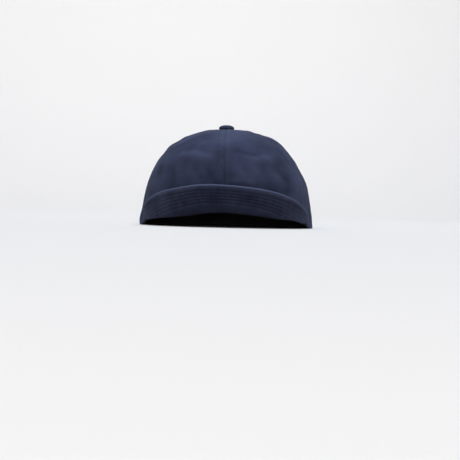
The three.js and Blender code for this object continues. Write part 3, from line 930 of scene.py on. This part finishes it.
def fold_spot(angle):
    """Out from the hem and up from the fold's underside, on the middle line of the fold."""
    return PIECE_GAP + FOLD_MIDDLE * np.cos(angle), BRIM_HALF + FOLD_MIDDLE * (1 - np.sin(angle))


def board_spot(length):
    """Out and up on the board's middle line, so many metres past the fold."""
    out, up = fold_spot(lean)
    return out + length * np.sin(lean), up + length * np.cos(lean)


def brim_middle():
    """The middle line of the brim's section at each station: places out and up, the facing
    angle, and metres of board past the fold."""
    level = np.full_like(lean, math.pi / 2)
    rows = [(np.full_like(lean, out), np.full_like(lean, BRIM_HALF), level, None) for out in HOOK_OUT]
    for step in range(FOLD_STEPS):
        angle = math.pi / 2 + (lean - math.pi / 2) * step / (FOLD_STEPS - 1)
        rows.append((*fold_spot(angle), angle, None))
    for share in np.linspace(0, 1, BOARD_STEPS)[1:]:
        rows.append((*board_spot(reach * share), lean, reach * share))
    return rows


# The stitch rows draw the cloth in, and it puckers and waves between them
ROW_FROM_EDGE = 5.2 * MM
ROW_SPACING = 3.65 * MM
ROW_COUNT = 5
ROW_SINK = 0.44 * MM
ROW_SINK_WIDTH = 0.8 * MM
DRAWN_END = (21 * MM, 26 * MM)
DRAWN_SHARE = 0.8
BOARD_SWELL = 0.16 * MM
BOARD_PUCKER = 0.16 * MM
BOARD_PUCKER_SIZE = (4.6 * MM, 9 * MM)
BOARD_WAVE = 0.22 * MM
BOARD_WAVE_SIZE = (26 * MM, 20 * MM)


def board_relief(length, face):
    """How far the board's cloth stands out, at so many metres past the fold. Face is 1 for
    the face turned forward and -1 for the one turned to the crown."""
    from_edge = (full_reach - length + BRIM_HALF) * square_to_edge
    sunk = np.zeros_like(from_edge)
    for row in range(ROW_COUNT):
        sunk += bell(from_edge - ROW_FROM_EDGE - row * ROW_SPACING, ROW_SINK_WIDTH)

    def noise_over(size, face_apart, seed):
        spots = [root_walk / size[0], from_edge / size[1], np.full_like(from_edge, face * face_apart)]
        return crumple(np.stack(spots, -1), 1.0, seed)

    drawn = (1 - smooth(from_edge, *DRAWN_END)) * DRAWN_SHARE + (1 - DRAWN_SHARE)
    pucker = BOARD_PUCKER * noise_over(BOARD_PUCKER_SIZE, 9, seed=1.7) * drawn
    waves = BOARD_WAVE * noise_over(BOARD_WAVE_SIZE, 5, seed=6.1)
    return (BOARD_SWELL * drawn - ROW_SINK * sunk + pucker + waves) * end_round


# The rolled edge and the two ends are coloured paler, given as how proud the cloth stands:
# along the edge a painted highlight where light from above catches it, with some wear, and
# painted light on the ends.
EDGE_WEAR_AND_HIGHLIGHT = 1.4 * MM
EDGE_HIGHLIGHT_AT_ENDS = 0.3
END_EDGE_HIGHLIGHT_CURVE = 1.5
END_PAINTED_LIGHT = 0.75 * MM
END_PAINTED_LIGHT_CURVE = 3
END_PAINTED_LIGHT_LOST = 0.8
painted_light_ends = END_PAINTED_LIGHT * np.abs(share_line) ** END_PAINTED_LIGHT_CURVE
ring_places, ring_wear_and_painted_light = [], []


def brim_face(out, up, thick, facing):
    """Places on the brim's skin, so thick away from its middle line."""
    place = root_place + root_out * (out + thick * np.cos(facing))[:, None]
    place[:, 2] = fold_height(root_turn) + (up - thick * np.sin(facing))
    return place


def add_ring(middle, round_angle, face):
    """One long line of the brim's skin, with how far its colour is paled or darkened: painted shade
    in the sunk stitch rows, painted light between them, on the ends and near the rim.
    """
    out, up, angle, length = middle
    relief = board_relief(length, face) if length is not None else np.zeros_like(out)
    ring_places.append(brim_face(out, up, BRIM_HALF * end_round + relief, angle + round_angle))
    if length is None:
        ring_wear_and_painted_light.append(relief + painted_light_ends)
        return
    from_tip = (reach - length + BRIM_HALF) * square_to_edge
    # Painted highlight on the board near the rim, towards the two ends
    end_edge_highlight = EDGE_WEAR_AND_HIGHLIGHT * (1 - smooth(from_tip, BRIM_HALF, 2 * BRIM_HALF))
    end_edge_highlight *= np.abs(share_line) ** END_EDGE_HIGHLIGHT_CURVE
    ring_wear_and_painted_light.append(relief + painted_light_ends * (1 - END_PAINTED_LIGHT_LOST * length / full_reach) + end_edge_highlight)


middle_rows = brim_middle()
for middle_row in middle_rows:
    add_ring(middle_row, 0.0, 1)
tip_out, tip_up, tip_angle, tip_length = middle_rows[-1]
outside_tip = board_relief(tip_length, 1)
inside_tip = board_relief(tip_length, -1)
for step in range(1, EDGE_STEPS):
    part = step / EDGE_STEPS
    thick = BRIM_HALF * end_round + outside_tip * (1 - part) + inside_tip * part
    ring_places.append(brim_face(tip_out, tip_up, thick, tip_angle - math.pi * part))
    # Painted highlight along the rolled edge, stronger towards the ends, with some wear
    edge_pale = EDGE_WEAR_AND_HIGHLIGHT * (1 + EDGE_HIGHLIGHT_AT_ENDS * np.abs(share_line))
    ring_wear_and_painted_light.append(edge_pale * math.sin(math.pi * part))
for middle_row in reversed(middle_rows):
    add_ring(middle_row, math.pi, -1)
ring_places = np.array(ring_places + ring_places[:1])
ring_wear_and_painted_light = np.array(ring_wear_and_painted_light + ring_wear_and_painted_light[:1])
ring_steps = np.linalg.norm(np.diff(ring_places[:, BRIM_STATIONS // 2], axis=0), axis=1)
ring_walk = np.concatenate([[0], np.cumsum(ring_steps)])
brim_weave = np.stack(np.broadcast_arrays(root_walk[None, :], ring_walk[:, None]), -1)
brim = sewn_piece("brim_board", [(ring_places, brim_weave, ring_wear_and_painted_light)])
# The brim is coloured far darker than the crown's twill that covers it: painted shade, against the
# floor's light reaching its face turned downward
BRIM_DEEP_PAINTED_SHADE = paint(17, 19, 37)
BRIM_PALEST = paint(95, 102, 131)
brim_twill = twill_finish("brim twill", BRIM_DEEP_PAINTED_SHADE, BRIM_PALEST, TWILL_PITCH,
                          sheen=0.03, fade_range=(0.2, 1.5), wash=0.22, lift=0.6)
brim.data.materials.append(brim_twill)
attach(brim, "root")
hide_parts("brim")

THREAD_DARK_NAVY = paint(40, 44, 64)
brim_thread = thread_finish("brim sewing thread", THREAD_DARK_NAVY)
ROW_ABOVE_FOLD = 1.2 * MM
ROW_FROM_RIM = 2 * MM
brim_rows = []
for row in range(ROW_COUNT):
    row_length = full_reach + BRIM_HALF - (ROW_FROM_EDGE + row * ROW_SPACING) / square_to_edge
    on_board = (row_length > ROW_ABOVE_FOLD) & (row_length < reach - ROW_FROM_RIM)
    on_board &= end_distance > ROW_FROM_RIM
    for face, round_angle in ((1, 0.0), (-1, math.pi)):
        thick = BRIM_HALF * end_round + board_relief(row_length, face)
        facing = lean + round_angle
        line = brim_face(*board_spot(row_length), thick, facing)
        square = root_out * np.cos(facing)[:, None]
        square[:, 2] = -np.sin(facing)
        brim_rows.append(stitch_row(line[on_board], square[on_board]))
thread_piece("brim_topstitching", brim_rows, brim_thread)

# The top button: a domed metal shell covered in the crown's twill, its cloth gathered round
# the rim in small pleats, riveted where the six gores meet.
BUTTON_RADIUS = (button_high.x - button_low.x) / 2
BUTTON_HEIGHT = button_high.z - button_low.z
BUTTON_SIDES = 144
BUTTON_RINGS = 44
BUTTON_EDGE_HEIGHT = 1.3 * MM
TURNED_UNDER = math.pi * 0.13
RIM_FULLNESS = 0.85
DOME_FULLNESS = 0.9
DOME_ENDS = 1.5
PLEATS = 14
WIDE_SWING = 0.7
NARROW_SWING = 0.4
PLEAT_DEPTH = 0.13 * MM
PLEAT_START = (0.35, 0.75)
PLEAT_WEAR_AND_SHADE = 1.5
DOME_CRUMPLE = 0.12 * MM
DOME_CRUMPLE_SIZE = 3.5 * MM
# A paler ring round the lower dome: painted light where the turned-under rim leaves it in shade
PAINTED_LIGHT_RING = 0.62
PAINTED_LIGHT_RING_WIDTH = 0.12
PAINTED_LIGHT_RING_AMOUNT = 0.25 * MM
UNDER_RINGS = 5

ring_share = np.linspace(0, 1, BUTTON_RINGS)[:, None]
button_angle = np.linspace(0, 2 * math.pi, BUTTON_SIDES + 1)[None, :]
over = ring_share * (math.pi / 2 + TURNED_UNDER)
tucked = np.sin(np.maximum(over - math.pi / 2, 0)) / math.sin(TURNED_UNDER)
domed = np.cos(np.minimum(over, math.pi / 2)) ** DOME_FULLNESS
button_reach = BUTTON_RADIUS * np.sin(over) ** RIM_FULLNESS
button_climb = BUTTON_EDGE_HEIGHT * (1 - tucked) + (BUTTON_HEIGHT - BUTTON_EDGE_HEIGHT) * domed
# Two slow swings round the rim make the pleats uneven
pleat_swing = WIDE_SWING * np.sin(3 * button_angle) + NARROW_SWING * np.sin(5 * button_angle + 1)
pleat = PLEAT_DEPTH * smooth(ring_share, *PLEAT_START) * np.sin(PLEATS * button_angle + pleat_swing)
button_x = (button_reach + pleat) * np.cos(button_angle)
button_y = (button_reach + pleat) * np.sin(button_angle)
button_z = np.broadcast_to(button_climb, button_x.shape)
dome = np.stack([TOP_X + button_x, CROWN_Y + button_y, button_low.z + button_z], -1)
dome[..., 2] += DOME_CRUMPLE * crumple(dome, DOME_CRUMPLE_SIZE, seed=2.2) * (over < DOME_ENDS)
dome[:, -1] = dome[:, 0]
under_scale = np.linspace(1, 0, UNDER_RINGS)[:, None, None]
middle_under = np.array([TOP_X, CROWN_Y, button_low.z])
under = middle_under + (dome[-1] - middle_under) * under_scale
dome_weave = np.stack([button_x, button_y], -1)
under_weave = dome_weave[-1] * under_scale
# The pleats' crests are paler and their hollows darker, painted light and shade with some wear
dome_painted_light = PAINTED_LIGHT_RING_AMOUNT * bell(ring_share - PAINTED_LIGHT_RING, PAINTED_LIGHT_RING_WIDTH) + pleat * PLEAT_WEAR_AND_SHADE
button = sewn_piece("covered_button", [
    (dome[::-1], dome_weave[::-1], dome_painted_light[::-1]),
    (under[::-1], under_weave[::-1], np.zeros(under.shape[:2])),
])
button.data.materials.append(crown_twill)
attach(button, "root")
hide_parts("top_button")

# The studio: a floor of pale paper that curves up into a wall behind, one wide soft light
# overhead, faint ones in front, low down and to the right, and two that wash the wall.
FLOOR_HALF_WIDTH = 6.0
FLOOR_FRONT = -6.0
FLOOR_BACK = 1.6
FLOOR_MIDDLE = 0.5
COVE_RADIUS = 0.9
COVE_STEPS = 25
WALL_HEIGHT = 2.4
PAPER_COLOUR = (0.845, 0.8, 0.76, 1)
PAPER_ROUGHNESS = 0.9
PAPER_SHINE = 0.1
cove = [(FLOOR_FRONT, 0.0), (-FLOOR_MIDDLE, 0.0), (FLOOR_MIDDLE, 0.0)]
for cove_angle in np.linspace(0, math.pi / 2, COVE_STEPS):
    curve_y = FLOOR_BACK + COVE_RADIUS * math.sin(cove_angle)
    cove.append((curve_y, COVE_RADIUS * (1 - math.cos(cove_angle))))
cove.append((FLOOR_BACK + COVE_RADIUS, WALL_HEIGHT))
floor_points = [(side * FLOOR_HALF_WIDTH, y, z) for y, z in cove for side in (-1, 1)]
floor_faces = [(2 * k, 2 * k + 1, 2 * k + 3, 2 * k + 2) for k in range(len(cove) - 1)]
floor_mesh = bpy.data.meshes.new("studio_floor")
floor_mesh.from_pydata(floor_points, [], floor_faces)
floor_mesh.shade_smooth()
floor = bpy.data.objects.new("studio_floor", floor_mesh)
bpy.context.scene.collection.objects.link(floor)
paper = bpy.data.materials.new("pale paper")
paper.use_nodes = True
paper_shader = paper.node_tree.nodes["Principled BSDF"]
paper_shader.inputs["Base Color"].default_value = PAPER_COLOUR
paper_shader.inputs["Roughness"].default_value = PAPER_ROUGHNESS
paper_shader.inputs["Specular IOR Level"].default_value = PAPER_SHINE
floor.data.materials.append(paper)

crown_middle = (CROWN_X, CROWN_Y, CROWN_HEIGHT / 2)
crown_foot = (CROWN_X, CROWN_Y, 0.0)
WARM = (1.0, 0.98, 0.96)
COOL = (0.93, 0.96, 1.0)
SKY = (0.88, 0.99, 1.12)
WALL_WHITE = (0.98, 0.98, 1.0)
LAMPS = [
    # name, place, aimed at, width and height, watts, colour, spread in degrees
    ("overhead", (0.1, 0.12, 3.1), crown_middle, (3.3, 2.6), 95, SKY, 180),
    ("over_front", (-0.3, -1.5, 1.2), (-0.3, -1.35, 0.0), (1.6, 0.8), 5.2, WARM, 180),
    ("low_fill", (0.0, -1.85, 0.15), crown_foot, (1.2, 0.2), 2.4, WARM, 180),
    ("right_side", (1.3, -0.25, 0.55), crown_middle, (0.5, 0.9), 0.4, COOL, 180),
    ("wall_wash", (-0.5, 0.8, 2.4), (-0.5, 2.5, 1.2), (3.0, 0.6), 9, WALL_WHITE, 180),
    ("wall_top", (-0.4, 0.9, 2.2), (-0.4, 2.5, 1.0), (3.0, 0.6), 5, WALL_WHITE, 76),
]
for name, place, aimed_at, size, watts, colour, spread in LAMPS:
    lamp = bpy.data.lights.new(name, "AREA")
    lamp.shape = "RECTANGLE"
    lamp.size, lamp.size_y = size
    lamp.energy = watts
    lamp.color = colour
    lamp.spread = math.radians(spread)
    holder = bpy.data.objects.new(name, lamp)
    bpy.context.scene.collection.objects.link(holder)
    holder.location = place
    holder.rotation_euler = (Vector(aimed_at) - Vector(place)).to_track_quat("-Z", "Y").to_euler()

ROOM_LIGHT = 0.14
world = bpy.data.worlds.new("pale room")
world.use_nodes = True
world.node_tree.nodes["Background"].inputs["Color"].default_value = (*WARM, 1)
world.node_tree.nodes["Background"].inputs["Strength"].default_value = ROOM_LIGHT
bpy.context.scene.world = world
bpy.context.scene.view_settings.view_transform = "Standard"

# The camera stands 1.5 m in front and one degree above the hem, and frames the cap as the
# photograph does: 1.06 mm of the cap to each pixel of a 460 pixel frame
CAMERA_DISTANCE = 1.5
CAMERA_ELEVATION = math.radians(1.0)
CAMERA_ROLL = math.radians(1.4)
CAMERA_YAW = math.radians(1.2)
NEAREST_SEEN = 0.01
SENSOR_WIDTH = 36
FRAME_WIDTH = 0.4876
FRAME_PIXELS = 460
HEM_MIDDLE_PIXEL = (226.5, 226.3)
pixel = FRAME_WIDTH / FRAME_PIXELS
ahead = Vector((-math.sin(CAMERA_YAW) * math.cos(CAMERA_ELEVATION),
                math.cos(CAMERA_YAW) * math.cos(CAMERA_ELEVATION),
                -math.sin(CAMERA_ELEVATION)))
across = Vector((math.cos(CAMERA_YAW), math.sin(CAMERA_YAW), 0))
upward = across.cross(ahead)
aim = Vector(crown_foot) + across * (FRAME_PIXELS / 2 - HEM_MIDDLE_PIXEL[0]) * pixel
aim.z -= (FRAME_PIXELS / 2 - HEM_MIDDLE_PIXEL[1]) * pixel
camera_across = across * math.cos(CAMERA_ROLL) + upward * math.sin(CAMERA_ROLL)
camera_up = upward * math.cos(CAMERA_ROLL) - across * math.sin(CAMERA_ROLL)
camera_turn = Matrix((camera_across, camera_up, -ahead)).transposed().to_4x4()
lens = bpy.data.cameras.new("camera")
lens.sensor_width = SENSOR_WIDTH
lens.lens = SENSOR_WIDTH * CAMERA_DISTANCE / FRAME_WIDTH
lens.clip_start = NEAREST_SEEN
camera = bpy.data.objects.new("camera", lens)
bpy.context.scene.collection.objects.link(camera)
camera.matrix_world = Matrix.Translation(aim - ahead * CAMERA_DISTANCE) @ camera_turn
bpy.context.scene.camera = camera
